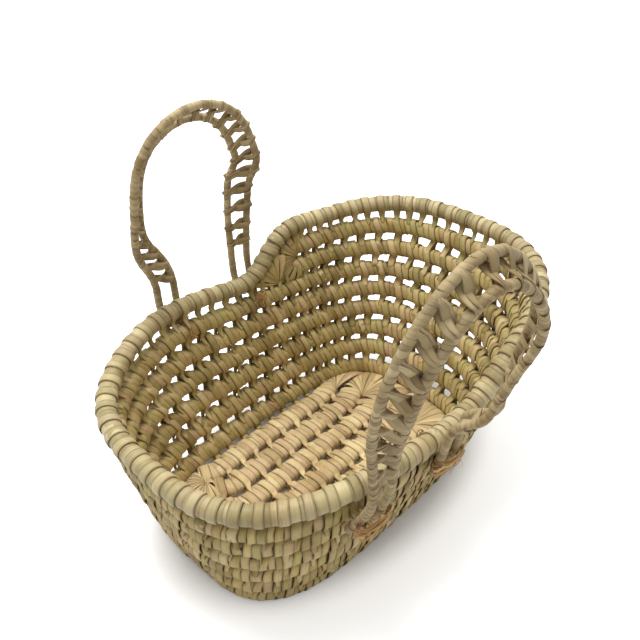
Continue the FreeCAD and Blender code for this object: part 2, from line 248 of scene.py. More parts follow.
def unit(vectors):
    """Vectors scaled to length 1."""
    return vectors / np.maximum(np.linalg.norm(vectors, axis=-1, keepdims=True), 1e-9)


def smoothed(points, closed, rounds=2):
    """Points with small measuring noise taken out."""
    for _ in range(rounds):
        if closed:
            points = 0.25 * np.roll(points, 1, 0) + 0.5 * points + 0.25 * np.roll(points, -1, 0)
        else:
            points[1:-1] = 0.25 * points[:-2] + 0.5 * points[1:-1] + 0.25 * points[2:]
    return points


def run_length(points):
    """Length of a line up to each of its points."""
    return np.concatenate([[0], np.cumsum(np.linalg.norm(np.diff(points, axis=0), axis=1))])


def sampled(table, known, wanted):
    """Rows of a table of vectors at the wanted places, from its rows at the known places."""
    return np.stack([np.interp(wanted, known, table[:, i]) for i in range(3)], -1)


class Coil:
    """A coil's centre line with its directions up and face at each point, and its cross-section."""

    def __init__(self, points, up, half_thickness, half_height, closed, squareness=1.0):
        points = smoothed(np.array(points), closed)
        if closed:
            points = np.vstack([points, points[:1]])
            up = np.vstack([up, up[:1]])
        length = run_length(points)
        self.length = length[-1]
        self.closed = closed
        count = max(int(self.length / PATH_STEP), 6)
        place = np.linspace(0, self.length, count + 1)
        line = sampled(points, length, place)
        hint = sampled(up, length, place)
        if closed:
            along = np.roll(line[:-1], -1, 0) - np.roll(line[:-1], 1, 0)
            along = np.vstack([along, along[:1]])
        else:
            along = np.gradient(line, axis=0)
        along = unit(along)
        hint = unit(hint - along * np.sum(hint * along, 1, keepdims=True))
        face = np.cross(along, hint)
        self.place, self.line, self.along, self.up, self.face = place, line, along, hint, face
        self.half_thickness = half_thickness
        self.half_height = half_height
        self.squareness = squareness
        self.swells = (np.array([0, 1.0]), np.array([0, 0.0]))

    def at(self, table, place):
        """Row of a table of vectors, at places along the coil."""
        place = place % self.length if self.closed else np.clip(place, 0, self.length)
        return sampled(table, self.place, place)

    def point(self, place):
        """Centre-line point at one place."""
        return self.at(self.line, place)

    def nearest(self, point):
        """Place along the coil that is nearest to a point."""
        return self.place[np.argmin(np.sum((self.line - point) ** 2, 1))]

    def swell(self, place):
        """How far the coil's upper side bulges at a place."""
        place = place % self.length if self.closed else place
        return np.interp(place, *self.swells)

    def skin(self, place, angle, lift):
        """Surface points; the angle is 0 on the shown face and 90 degrees on the upper side."""
        out, over = np.cos(angle), np.sin(angle)
        out = np.sign(out) * np.abs(out) ** self.squareness
        over = np.sign(over) * np.abs(over) ** self.squareness
        bulge = np.clip(over, 0, 1) ** 1.2 * self.swell(place)
        thick = (self.half_thickness + lift) * out
        high = (self.half_height + lift) * over + bulge
        return (self.at(self.line, place) + self.at(self.face, place) * thick[..., None]
                + self.at(self.up, place) * high[..., None])


# ---- meshes

class Leaves:
    """Collects grids of points into one mesh with the leaf coordinates its material reads."""

    def __init__(self):
        self.points, self.faces, self.slots = [], [], []
        self.leaf = []
        self.count = 0

    def add(self, points, along, across, tone, closed=False, slot=0):
        """Add a tube: rows of points, each row a closed outline; closed joins the last row to the first."""
        rows, sides = points.shape[:2]
        index = np.arange(rows * sides).reshape(rows, sides)
        start = index if closed else index[:-1]
        end = np.roll(index, -1, 0) if closed else index[1:]
        quads = np.stack([start, np.roll(start, -1, 1), np.roll(end, -1, 1), end], -1).reshape(-1, 4)
        slots = np.repeat(np.broadcast_to(slot, rows)[:len(start)], sides)
        if not closed:
            half = np.arange(sides // 2 - 1)
            cap = np.stack([half, half + 1, sides - 2 - half, sides - 1 - half], -1)
            quads = np.vstack([quads, index[0][cap[:, ::-1]], index[-1][cap]])
            slots = np.concatenate([slots, np.full(2 * len(cap), slots[0])])
        corner = points.reshape(-1, 3)[quads] - points.reshape(-1, 3)[0]
        turned = np.cross(corner[:, 2] - corner[:, 0], corner[:, 3] - corner[:, 1])
        if np.sum(turned * corner.mean(1)) < 0:
            quads = quads[:, ::-1]
        shape = (rows, sides)
        leaf = [np.broadcast_to(np.asarray(value, float), shape).ravel() for value in (along, across, tone)]
        self.points.append(points.reshape(-1, 3))
        self.leaf.append(np.stack(leaf, 1))
        self.faces.append(quads + self.count)
        self.slots.append(slots.astype(np.int32))
        self.count += rows * sides

    def build(self, name, body, materials, replaced):
        """Make the object, ride it on its body and let it stand for CAD nodes."""
        points = np.concatenate(self.points).astype(np.float32)
        faces = np.concatenate(self.faces).astype(np.int32)
        leaf = np.concatenate(self.leaf).astype(np.float32)
        mesh = bpy.data.meshes.new(name)
        mesh.vertices.add(len(points))
        mesh.vertices.foreach_set("co", points.ravel())
        mesh.loops.add(faces.size)
        mesh.loops.foreach_set("vertex_index", faces.ravel())
        mesh.polygons.add(len(faces))
        mesh.polygons.foreach_set("loop_start", np.arange(0, faces.size, 4, dtype=np.int32))
        mesh.polygons.foreach_set("material_index", np.concatenate(self.slots))
        mesh.polygons.foreach_set("use_smooth", np.ones(len(faces), bool))
        for i, key in enumerate(("leaf_along", "leaf_across", "leaf_tone")):
            mesh.attributes.new(key, "FLOAT", "POINT").data.foreach_set("value", leaf[:, i].copy())
        for material in materials:
            mesh.materials.append(material)
        mesh.update(calc_edges=True)
        mesh.validate()
        piece = bpy.data.objects.new(name, mesh)
        bpy.context.scene.collection.objects.link(piece)
        if body:
            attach(piece, body)
        if replaced:
            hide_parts(*replaced)
        return piece

    def cover(self, name, materials, slot_name, body="basket"):
        """Stand for the one CAD node of this name."""
        self.build(name + "_leaf", body, materials, [name])


def lifts(crown, depth, tilt):
    """Heights of a strip's outline over the coil."""
    across, height = PROFILE.T
    return np.where(height > 0, height * crown, height * depth) + across * tilt


def wrap(leaves, coil, place, width, lean, rise=0.0, steps=WRAP_STEPS, crown=CROWN, rough=1.0,
         shingle=0.0):
    """One turn of leaf round a coil; rough scales its unevenness, shingle lifts its outer lower edge."""
    angle = circle(steps)[:, None]
    across = PROFILE[:, 0][None, :]
    outside = np.clip(-np.cos(angle), 0, 1)
    wander = 0.35 * rough * MM * np.sin(2 * angle + vary(0, ANY_ANGLE))
    slant = -lean * (np.sin(angle) + 0.35 * np.sin(2 * angle))
    tilt = vary(0.1, 0.5) * rough * MM
    lift = rise + lifts(crown, WRAP_DEPTH, tilt)[None, :] + vary(-0.3, 0.3) * rough * MM
    lift = lift + 0.25 * rough * MM * np.sin(angle + vary(0, ANY_ANGLE))
    lift = lift + shingle * outside * np.clip(-np.sin(angle), -0.5, 1)
    slit = 1 - SLIT * (shingle > 0) * outside
    spot = place + across * slit * width / 2 + slant + wander
    shape = np.broadcast_arrays(spot, angle, lift)
    leaves.add(coil.skin(*shape), angle * 9 * MM + vary(0, 1), across, vary(), True)


def core(leaves, coil, start, end, depth=CORE_DEPTH):
    """The bundle inside a coil's wraps, between two places."""
    closed = coil.closed and end - start >= coil.length
    count = max(int((end - start) / PATH_STEP), 4)
    place = np.linspace(start, end, count, endpoint=not closed)[:, None]
    angle = circle(CORE_STEPS)[None, :]
    lift = np.full((count, CORE_STEPS), -depth)
    if not closed:
        lift[0] = lift[-1] = -0.5 * coil.half_thickness
    shape = np.broadcast_arrays(place, angle, lift)
    leaves.add(coil.skin(*shape), place, angle / np.pi, 0.5, closed, slot=1)


def through(points, count):
    """A smooth line of count points through a few points, as a Catmull-Rom spline."""
    points = np.asarray(points, float)
    padded = np.vstack([2 * points[0] - points[1], points, 2 * points[-1] - points[-2]])
    share = np.linspace(0, len(points) - 1, count)
    piece = np.minimum(share.astype(int), len(points) - 2)
    t = (share - piece)[:, None]
    a, b, c, d = (padded[piece + i] for i in range(4))
    return 0.5 * (2 * b + (c - a) * t + (2 * a - 5 * b + 4 * c - d) * t ** 2
                  + (3 * b - a - 3 * c + d) * t ** 3)


def strip(leaves, spine, side, widths, tone, crown=0.8 * MM, depth=0.5 * MM, closed=False, slot=0):
    """A leaf strip along a spine; side points across the leaf."""
    if closed:
        along = unit(np.roll(spine, -1, 0) - np.roll(spine, 1, 0))
    else:
        along = unit(np.gradient(spine, axis=0))
    side = unit(side - along * np.sum(side * along, 1, keepdims=True))
    normal = np.cross(along, side)
    across = PROFILE[:, 0][None, :, None]
    slim = np.clip(widths / (4 * MM), 0.25, 1)[:, None]
    height = (lifts(crown, depth, 0)[None, :] * slim)[..., None]
    points = spine[:, None] + side[:, None] * across * widths[:, None, None] / 2 + normal[:, None] * height
    length = run_length(spine)[:, None]
    leaves.add(points, length + vary(0, 1), PROFILE[:, 0][None, :], tone, closed, slot)


# ---- coils and long stitches

def unit_length(x):
    """Distance between long stitches: shorter beside the step."""
    near = math.exp(-((x - DENSE_X) / DENSE_SPREAD) ** 2)
    return UNIT + (DENSE_UNIT - UNIT) * near


def stitch_places(coil, start, end, scale=1.0):
    """Places of the long stitches that hang from a coil."""
    places = []
    place = start + 0.5 * UNIT * vary(0.3, 1.0)
    while place < end - 4 * MM:
        places.append(place)
        x = coil.point(place)[0]
        place += scale * unit_length(x) * vary(0.9, 1.1)
    whole = coil.closed and end - start >= coil.length
    if whole and places[0] + coil.length - places[-1] < 0.6 * UNIT * scale:
        places.pop()
    return places


def wraps_between(leaves, coil, places, start, end, lean, shingle=0.0):
    """Fill a coil with wraps, leaving room for the wide part of each long stitch."""
    edges = [start] + list(places) + [end]
    for first, last in zip(edges, edges[1:]):
        low = first + (STITCH_ROOM * STITCH_WIDTH if first in places else 0)
        high = last - (STITCH_ROOM * STITCH_WIDTH if last in places else 0)
        room = high - low
        if room < 3 * MM:
            continue
        count = max(1, round(room / WRAP_WIDTH))
        shares = vary(0.75, 1.25, count)
        shares = shares / shares.sum() * room
        spot = low
        for share in shares:
            wrap(leaves, coil, spot + share / 2, share + WRAP_OVERLAP, lean * vary(0.6, 1.4),
                 rise=vary(-0.2, 0.3) * MM, crown=0.45 * MM, rough=1.3, shingle=shingle)
            spot += share


def long_stitch(leaves, upper, lower, place, lean, gap_lean, width=STITCH_WIDTH, facing=1.0,
                taper=WALL_TAPER, outside=True, leg_slot=0):
    """A leaf that wraps the upper coil, crosses the gap on both sides and dives into the lower coil.

    taper holds the leg's widths, from its tip up; a stitch without an outside leg ends under its coil."""
    width = width * vary(0.85, 1.15)
    sink = lower.nearest(upper.point(place)) + gap_lean
    spots = []

    def on(coil, spot, degrees, lift):
        spots.append(coil.skin(spot, math.radians(degrees), lift))

    def across(face):
        top = upper.skin(place + 0.6 * lean, -math.pi / 2, 0.0)
        bottom = lower.skin(sink - 0.5 * gap_lean, facing * math.pi / 2, 0.0)
        inward = upper.at(upper.face, place) * face
        spots.append(0.5 * (top + bottom) + inward)

    on(lower, sink, facing * 14, -0.6 * MM)
    on(lower, sink - 0.2 * gap_lean, facing * 36, 1.0 * MM)
    across(3.2 * MM)
    for degrees in (-62, -35, 0, 35, 65, 90, 120, 150, 180, 210, 240):
        slant = -lean * (math.sin(math.radians(degrees)) + 0.35 * math.sin(math.radians(2 * degrees)))
        on(upper, place + slant, degrees, 1.1 * MM)
    shares = list(taper) + [1.0] * 11
    if outside:
        across(-3.2 * MM)
        on(lower, sink - 0.2 * gap_lean, facing * 144, 1.0 * MM)
        on(lower, sink, facing * 166, -0.6 * MM)
        shares += list(taper)[::-1]
    widths = width * np.array(shares)
    count = 2 * len(spots) - 1
    spine = through(spots, count)
    widths = np.interp(np.linspace(0, 1, count), np.linspace(0, 1, len(widths)), widths)
    side = np.repeat(upper.at(upper.along, place)[None, :], count, 0)
    twist = vary(-0.5, 0.5)
    bend = np.zeros(count)
    bend[[3, 4, 5]] = twist
    side = side + bend[:, None] * upper.at(upper.face, place)
    row = np.arange(count)
    leg = (row < 7) | (outside & (row > count - 8))
    strip(leaves, spine, side, widths, vary(), slot=np.where(leg, leg_slot, 0))


def set_swells(coil, places, height, rise_start=0.12, rise_end=0.3, rise_low=-0.2):
    """Let the upper side of a coil bulge after each stitch that lands on it and sink before the next."""
    spots, values = [], []
    ordered = sorted(p % coil.length if coil.closed else p for p in places)
    for place, following in zip(ordered, ordered[1:] + [ordered[-1] + UNIT]):
        x = coil.point(place)[0]
        size = height * vary(0.75, 1.15) * (HEAD_WALL_SWELL if x > HEAD_WALL_X and coil.closed else 1.0)
        span = following - place
        spots += [place - 2 * MM, place + rise_start * span, place + rise_end * span]
        values += [-0.2 * size, rise_low * size, size]
    order = np.argsort(spots)
    coil.swells = (np.array(spots)[order], np.array(values)[order])


def edge_strand(leaves, coil, start, end, degrees=232):
    """A thin twisted strand along the outside of a coil's lower edge."""
    closed = coil.closed and end - start >= coil.length
    count = int((end - start) / (2.5 * MM))
    place = np.linspace(start, end, count, endpoint=not closed)
    waves = np.sin(place * 2 * np.pi / (9 * MM) + vary(0, 6))
    waves = waves * np.sin(place * 130 + vary(0, 6))
    angle = np.full(count, math.radians(degrees)) + 0.16 * waves
    centre = coil.skin(place, angle, np.full(count, 0.9 * MM) + 0.5 * MM * waves)
    turn = circle(6)[None, :] + place[:, None] * 700
    radius = (0.95 + 0.35 * np.sin(place * 900 + 1) * np.sin(place * 370))[:, None] * MM
    out = coil.at(coil.face, place)[:, None] * (np.cos(turn) * radius)[..., None]
    out = out + coil.at(coil.up, place)[:, None] * (np.sin(turn) * radius * 0.6)[..., None]
    leaves.add(centre[:, None] + out, place[:, None], np.sin(turn), vary(), closed)


# ---- materials

def node(tree, kind, **settings):
    """Add a shader node and set its inputs by name or its own properties."""
    made = tree.nodes.new(kind)
    for key, value in settings.items():
        if key in made.inputs:
            made.inputs[key].default_value = value
        else:
            setattr(made, key, value)
    return made


def mixed(tree, kind, amount, first, second):
    """Colour mix of two sockets or colours."""
    made = node(tree, "ShaderNodeMix", data_type="RGBA", blend_type=kind)
    for key, value in ((0, amount), (6, first), (7, second)):
        if isinstance(value, bpy.types.NodeSocket):
            tree.links.new(value, made.inputs[key])
        else:
            made.inputs[key].default_value = value
    return made.outputs[2]


def ramp(tree, source, stops):
    """Colour ramp over a value."""
    made = tree.nodes.new("ShaderNodeValToRGB")
    marks = made.color_ramp.elements
    while len(marks) < len(stops):
        marks.new(0.5)
    for mark, (place, colour) in zip(marks, stops):
        mark.position = place
        mark.color = colour if len(colour) == 4 else (*colour, 1)
    tree.links.new(source, made.inputs[0])
    return made.outputs[0]


def maths(tree, operation, first, second=0.0, third=0.0):
    """One step of arithmetic on sockets or numbers."""
    made = node(tree, "ShaderNodeMath", operation=operation)
    for key, value in enumerate((first, second, third)):
        if isinstance(value, bpy.types.NodeSocket):
            tree.links.new(value, made.inputs[key])
        else:
            made.inputs[key].default_value = value
    return made.outputs[0]


def new_material(name):
    """A material with its node tree and main shader."""
    material = bpy.data.materials.new(name)
    material.use_nodes = True
    return material, material.node_tree, material.node_tree.nodes["Principled BSDF"]


def stretched(tree, scaled):
    """One vector of values, each times a factor."""
    spread = node(tree, "ShaderNodeCombineXYZ")
    for i, (value, factor) in enumerate(scaled):
        tree.links.new(maths(tree, "MULTIPLY", value, factor), spread.inputs[i])
    return spread.outputs[0]


def raised(tree, shader, height, strength, distance):
    """Bump the shader's surface by a height."""
    bumped = node(tree, "ShaderNodeBump", Strength=strength, Distance=distance)
    tree.links.new(height, bumped.inputs["Height"])
    tree.links.new(bumped.outputs[0], shader.inputs["Normal"])


def leaf_material(name, tones, roughness=0.55, edge=0.85, stain=0.5, sheen=0.04, bump=0.6):
    """Dry palm leaf: veins along the leaf, a tone for each strip, stains, and edges darkened partly as dirt
    and partly as painted shade in the seams between wraps.
    """
    material, tree, shader = new_material(name)
    along, across, tone = (node(tree, "ShaderNodeAttribute", attribute_name=key).outputs["Fac"]
                           for key in ("leaf_along", "leaf_across", "leaf_tone"))
    spread = stretched(tree, ((along, 28.0), (across, 7.0), (tone, 97.0)))
    veins = node(tree, "ShaderNodeTexNoise", Scale=1.0, Detail=3.0, Roughness=0.65)
    tree.links.new(spread, veins.inputs["Vector"])
    place = node(tree, "ShaderNodeTexCoord").outputs["Object"]
    cloud = node(tree, "ShaderNodeTexNoise", Scale=22.0, Detail=4.0, Roughness=0.6)
    tree.links.new(place, cloud.inputs["Vector"])
    grit = node(tree, "ShaderNodeTexNoise", Scale=900.0, Detail=2.0)
    tree.links.new(place, grit.inputs["Vector"])

    count = len(tones)
    pick = maths(tree, "FRACT", maths(tree, "MULTIPLY_ADD", cloud.outputs[0], 0.5, tone))
    colour = ramp(tree, pick, [((i + 0.5) / count, tint) for i, tint in enumerate(tones)])
    vein_stops = [(0.3, (0.62, 0.56, 0.46)), (0.5, (1, 1, 1)), (0.72, (1.0, 0.97, 0.9))]
    vein = ramp(tree, veins.outputs[0], vein_stops)
    colour = mixed(tree, "MULTIPLY", 0.75, colour, vein)
    spots = ramp(tree, cloud.outputs[0], [(0.36, (0.58, 0.47, 0.33)), (0.52, (1, 1, 1))])
    colour = mixed(tree, "MULTIPLY", stain, colour, spots)
    # Darken the leaf's edges towards brown: partly dirt, partly painted shade in the seams where wraps meet
    rim = maths(tree, "POWER", maths(tree, "ABSOLUTE", across), 5.0)
    colour = mixed(tree, "MULTIPLY", maths(tree, "MULTIPLY", rim, edge), colour, (0.32, 0.22, 0.12, 1))
    tree.links.new(colour, shader.inputs["Base Color"])
    rough = maths(tree, "MULTIPLY_ADD", veins.outputs[0], 0.25, roughness - 0.12)
    tree.links.new(rough, shader.inputs["Roughness"])
    shader.inputs["Sheen Weight"].default_value = sheen
    shader.inputs["Sheen Roughness"].default_value = 0.5
    shader.inputs["Specular IOR Level"].default_value = 0.3
    height = maths(tree, "MULTIPLY_ADD", veins.outputs[0], 1.0, maths(tree, "MULTIPLY", grit.outputs[0], 0.2))
    raised(tree, shader, height, bump, 0.0007)
    return material


def bundle_material(name, dark, light):
    """Fibre bundle of fine near-black strands: partly the colour of the core itself, partly painted shade
    where it shows through the seams between wraps.
    """
    material, tree, shader = new_material(name)
    across = node(tree, "ShaderNodeAttribute", attribute_name="leaf_across").outputs["Fac"]
    along = node(tree, "ShaderNodeAttribute", attribute_name="leaf_along").outputs["Fac"]
    spread = stretched(tree, ((along, 30.0), (across, 16.0)))
    strands = node(tree, "ShaderNodeTexNoise", Scale=1.0, Detail=3.0)
    tree.links.new(spread, strands.inputs["Vector"])
    tree.links.new(ramp(tree, strands.outputs[0], [(0.35, dark), (0.65, light)]), shader.inputs["Base Color"])
    shader.inputs["Roughness"].default_value = 0.8
    raised(tree, shader, strands.outputs[0], 0.8, 0.0008)
    return material


STRAW = [(0.62, 0.47, 0.24), (0.74, 0.58, 0.30), (0.50, 0.37, 0.18), (0.68, 0.50, 0.29), (0.78, 0.63, 0.34)]
OLIVE = [(0.44, 0.33, 0.12), (0.60, 0.46, 0.19), (0.36, 0.28, 0.10), (0.54, 0.38, 0.20), (0.50, 0.42, 0.15)]
# Tones of the long stitches: their dark olive is painted shade, for posts seen on their shaded side between
# the rows
POST = [(0.34, 0.27, 0.10), (0.56, 0.43, 0.19), (0.42, 0.35, 0.13), (0.62, 0.48, 0.24)]
PALE = [(0.41, 0.34, 0.17), (0.50, 0.41, 0.21), (0.36, 0.30, 0.14), (0.46, 0.36, 0.20), (0.57, 0.48, 0.26)]
TAN = [(0.40, 0.31, 0.16), (0.48, 0.38, 0.20), (0.30, 0.22, 0.11), (0.54, 0.43, 0.24)]
RUST = [(0.50, 0.26, 0.08), (0.62, 0.38, 0.14), (0.36, 0.18, 0.06), (0.68, 0.48, 0.22)]

floor_leaf = leaf_material("palm_leaf_floor", STRAW)
wall_leaf = leaf_material("palm_leaf_wall", OLIVE, roughness=0.62)
post_leaf = leaf_material("palm_leaf_stitches", POST, roughness=0.65)
# The straw leaf again, for the small triangles on the wall: a lit copy of the leaf, as painted highlight
highlight_leaf = leaf_material("palm_leaf_painted_highlight", STRAW, roughness=0.6)
rim_leaf = leaf_material("palm_leaf_rim", PALE, roughness=0.42, edge=0.6, sheen=0.05)
handle_leaf = leaf_material("palm_leaf_handles", TAN, roughness=0.55, edge=0.6, stain=0.6)
fibre = leaf_material("palm_fibre", RUST, roughness=0.75, edge=0.2)
# Near-black core: partly its own colour, partly painted shade for the dark gaps between wraps
bundle = bundle_material("fibre_bundle", (0.035, 0.022, 0.01), (0.12, 0.08, 0.04))


# ---- measuring the frame

def wall_coils():
    """Coils of the wall from the CAD rings, lowest first, then the head coils and the rim."""
    low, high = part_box("wall_coil_1")
    origin = np.array((middle(np.array((low.x, high.x))), middle(np.array((low.y, high.y))), 0.0))
    angles = np.pi - 2 * np.pi * np.arange(SLICES) / SLICES
    names = ["wall_coil_%d" % i for i in range(1, 7)] + ["rim_core"]
    lines = [spun_centres(name, origin, X_AXIS, Y_AXIS, angles) for name in names]
    coils = []
    for i, line in enumerate(lines):
        above = lines[min(i + 1, len(lines) - 1)]
        below = lines[max(i - 1, 0)]
        section = (WALL_HALF_THICKNESS, WALL_HALF_HEIGHT, True, WALL_SQUARENESS)
        if names[i] == "rim_core":
            section = (RIM_RADIUS, RIM_RADIUS, True)
        coils.append(Coil(line, unit(above - below), *section))
    rings, rim = coils[:-1], coils[-1]
    head = []
    for name in ("head_coil_7", "head_coil_8"):
        line = spun_centres(name, origin, X_AXIS, Y_AXIS, angles)
        up = np.array([rim.line[np.argmin(np.sum((rim.line - p) ** 2, 1))] for p in line]) - line
        head.append(Coil(line, unit(up), WALL_HALF_THICKNESS, WALL_HALF_HEIGHT, False, WALL_SQUARENESS))
    return rings, head, rim


def floor_coils():
    """Coils of the floor, from the left side."""
    coils = []
    for i in range(1, 7):
        line = x_centres("floor_coil_%d" % i, FLOOR_SLICES)
        up = np.tile((0.0, 1.0, 0.0), (len(line), 1))
        coils.append(Coil(line, up, FLOOR_HALF_HEIGHT, FLOOR_HALF_WIDTH, False, FLOOR_SQUARENESS))
    return coils


rings, head, rim = wall_coils()
floor = floor_coils()


# ---- wall

def wall():
    """All rows, from the top down, so that each row knows where the stitches above land on it."""
    # rim, with its stitches into the top low coil and, round the head, into the second head coil
    rim_leaves = Leaves()
    low_stitches, head_stitches = Leaves(), Leaves()
    low_landings, head_landings = [], []
    for place in stitch_places(rim, 0, rim.length, 0.75):
        top = rim.point(place)
        below, leaves, landings = rings[-1], low_stitches, low_landings
        if top[0] > STEP_X:
            below, leaves, landings = head[1], head_stitches, head_landings
        long_stitch(leaves, rim, below, place, RIM_LEAN, WALL_GAP_LEAN, RIM_STITCH_WIDTH,
                    outside=False, leg_slot=1)
        landings.append(below.nearest(top))
    set_swells(rings[-1], low_landings, LOW_RIM_SWELL)
    set_swells(head[1], head_landings, HEAD_SWELL)
    rim_wraps(rim_leaves)
    rim_leaves.build("rim", "basket", [rim_leaf, bundle], ["rim_wrap"])
    # The rim stitches' legs across the gap take the dark stitch leaf, as painted shade
    materials = [rim_leaf, post_leaf]
    low_stitches.cover("wall_stitches_6", materials, "rim_leaf")
    head_stitches.cover("head_stitches_8", materials, "rim_leaf")

    # head coils
    for i in (1, 0):
        below = head[0] if i else rings[-1]
        coil_row(head[i], below, "head_coil_%d" % (7 + i), "head_stitches_%d" % (6 + i),
                 8 * MM, head[i].length - 8 * MM, HEAD_GAP_LEAN, HEAD_SWELL)

    # full coils
    for i in range(len(rings) - 1, 0, -1):
        coil_row(rings[i], rings[i - 1], "wall_coil_%d" % (i + 1), "wall_stitches_%d" % i,
                 0, rings[i].length, WALL_GAP_LEAN, WALL_SWELL)


def rim_wraps(leaves):
    """Smooth wraps of the rim, of very different widths."""
    core(leaves, rim, 0, rim.length)
    spot = 0.0
    while spot < rim.length - 4 * MM:
        width = min(draw.choice(RIM_WIDTHS) * vary(0.85, 1.15), rim.length - spot)
        wrap(leaves, rim, spot + width / 2, width + WRAP_OVERLAP, vary(-0.3, 1.6) * MM,
             rise=vary(-0.1, 0.2) * MM, steps=RIM_STEPS, crown=0.3 * MM, rough=0.45)
        spot += width


def foot_triangle(leaves, coil, place):
    """The small triangle of a leaf that turns under its coil just past a long stitch; its pale straw colour
    is a painted highlight.
    """
    count = 7
    marks = []
    for ahead, degrees, lift in ((6.5, -18, 0.9), (7.5, -62, 0.9), (9.5, -105, 0.2)):
        marks.append(coil.skin(place + ahead * MM, math.radians(degrees), lift * MM))
    spine = through(marks, count)
    side = np.repeat(coil.at(coil.along, place)[None, :], count, 0)
    widths = np.linspace(1.2, 8.5, count) * MM
    strip(leaves, spine, side, widths, vary(), slot=1)


def coil_row(coil, below, coil_name, stitch_name, start, end, gap_lean, swell):
    """One coil with its wraps, lower edge strand and hanging stitches."""
    leaves, stitches = Leaves(), Leaves()
    places = stitch_places(coil, start, end)
    for place in places:
        taper = HEAD_TAPER if coil.point(place)[0] > HEAD_WALL_X else WALL_TAPER
        long_stitch(stitches, coil, below, place, WALL_LEAN, gap_lean, taper=taper)
        if vary() < TRIANGLE_CHANCE:
            foot_triangle(stitches, coil, place - 1.5 * MM)
    set_swells(below, [below.nearest(coil.point(place)) for place in places], swell)
    core(leaves, coil, 0, coil.length)
    wraps_between(leaves, coil, places, 0, coil.length, WALL_LEAN, SHINGLE)
    edge_strand(leaves, coil, 0, coil.length)
    leaves.cover(coil_name, [wall_leaf, bundle], "wall_leaf")
    # Slot 1 gives the triangles the pale straw leaf, as painted highlight
    stitches.cover(stitch_name, [post_leaf, highlight_leaf], "wall_leaf")


# ---- fans of long leaves

def reach(origin, first, second, lines, angle):
    """Distance from origin, along a direction in a plane, to the nearest of some (line, margin) pairs."""
    nearest = 1.0
    for line, margin in lines:
        flat = np.stack([(line - origin) @ first, (line - origin) @ second], 1)
        dense = through(flat, 6 * len(flat))
        turned = np.arctan2(dense[:, 1], dense[:, 0]) - angle
        turned = (turned + np.pi) % (2 * np.pi) - np.pi
        seen = np.hypot(dense[:, 0], dense[:, 1])[np.abs(turned) < 0.06]
        if len(seen):
            nearest = min(nearest, seen.min() - margin)
    return nearest


def fan(leaves, origin, first, second, normal, start, end, radius_at, half_height, leaf_angle):
    """Leaves wrapped round a hairpin turn: each one a loop that starts at the apex."""
    inner = 1.5 * MM
    steps = WRAP_STEPS
    angles = np.linspace(start, end, 60)
    radii = np.array([radius_at(angle) for angle in angles])
    radii = smoothed(radii, False, 3)

    def skin(angle, turn, lift):
        outer = np.interp(angle, angles, radii)
        half = 0.5 * (outer - inner)
        swing, over = np.cos(turn), np.sin(turn)
        swing = np.sign(swing) * np.abs(swing) ** 0.85
        far = np.maximum(inner + half + (half + lift) * swing, 0.4 * MM)
        high = (half_height + lift) * np.sign(over) * np.abs(over) ** 0.8
        across = first * (np.cos(angle) * far)[..., None] + second * (np.sin(angle) * far)[..., None]
        return origin + across + normal * high[..., None]

    turn = circle(steps)[:, None]
    grid = np.linspace(start, end, 24)[:, None]
    shape = np.broadcast_arrays(grid, turn.T, np.full((len(grid), steps), -FAN_CORE_DEPTH))
    leaves.add(skin(*shape), grid, turn.T / np.pi, 0.5, slot=1)
    across = PROFILE[:, 0][None, :]
    count = max(2, round((end - start) / leaf_angle))
    shares = vary(0.75, 1.25, count)
    edges = start + (end - start) * np.concatenate([[0], np.cumsum(shares)]) / shares.sum()
    for low, high in zip(edges, edges[1:]):
        width = (high - low) * 1.12
        slant = 0.04 * np.sin(turn + vary(0, ANY_ANGLE))
        lift = lifts(vary(0.7, 1.3) * MM, WRAP_DEPTH, vary(0.1, 0.4) * MM)[None, :]
        lift = lift + vary(-0.3, 0.4) * MM
        shape = np.broadcast_arrays(0.5 * (low + high) + across * width / 2 + slant, turn, lift)
        leaves.add(skin(*shape), turn * 15 * MM + vary(0, 1), across, vary(), True)


# ---- floor

def floor_rows():
    """Six coils and the diagonal long stitches between them."""
    for i, coil in enumerate(floor):
        leaves = Leaves()
        places = []
        if i < len(floor) - 1:
            stitches = Leaves()
            below = floor[i + 1]
            places = stitch_places(coil, 2 * MM, coil.length - 6 * MM, 0.92)
            for place in places:
                long_stitch(stitches, coil, below, place, FLOOR_LEAN, FLOOR_GAP_LEAN, FLOOR_STITCH_WIDTH,
                            taper=FLOOR_TAPER)
            landings = [below.nearest(coil.point(place)) + FLOOR_GAP_LEAN for place in places]
            set_swells(below, landings, FLOOR_SWELL, 0.1, 0.25, 0.0)
            stitches.cover("floor_stitches_%d" % (i + 1), [floor_leaf], "floor_leaf")
        core(leaves, coil, 0, coil.length)
        wraps_between(leaves, coil, places, 0, coil.length, FLOOR_LEAN)
        leaves.cover("floor_coil_%d" % (i + 1), [floor_leaf, bundle], "floor_leaf")


def floor_edge():
    """Long stitches from the lowest wall coil to the outermost floor coils and to the fans."""
    stitches = Leaves()
    coil = rings[0]
    lean = 2.4 * MM
    landings, places = [], []
    for place in stitch_places(coil, 0, coil.length, 0.9):
        x, y, _ = coil.point(place)
        below, facing = (floor[0], 1.0) if y > 0 else (floor[-1], -1.0)
        start, end = below.line[0][0], below.line[-1][0]
        if start < x < end and abs(y) > FLOOR_SIDE_Y:
            places.append(place)
            long_stitch(stitches, coil, below, place, lean, WALL_GAP_LEAN, facing=facing)
            if facing > 0:
                landings.append(below.nearest(coil.point(place)))
    set_swells(floor[0], landings, EDGE_SWELL)
    stitches.cover("floor_edge_stitches", [post_leaf], "wall_leaf")
    leaves = Leaves()
    core(leaves, coil, 0, coil.length)
    wraps_between(leaves, coil, places, 0, coil.length, lean, SHINGLE)
    edge_strand(leaves, coil, 0, coil.length)
    leaves.cover("wall_coil_1", [wall_leaf, bundle], "wall_leaf")


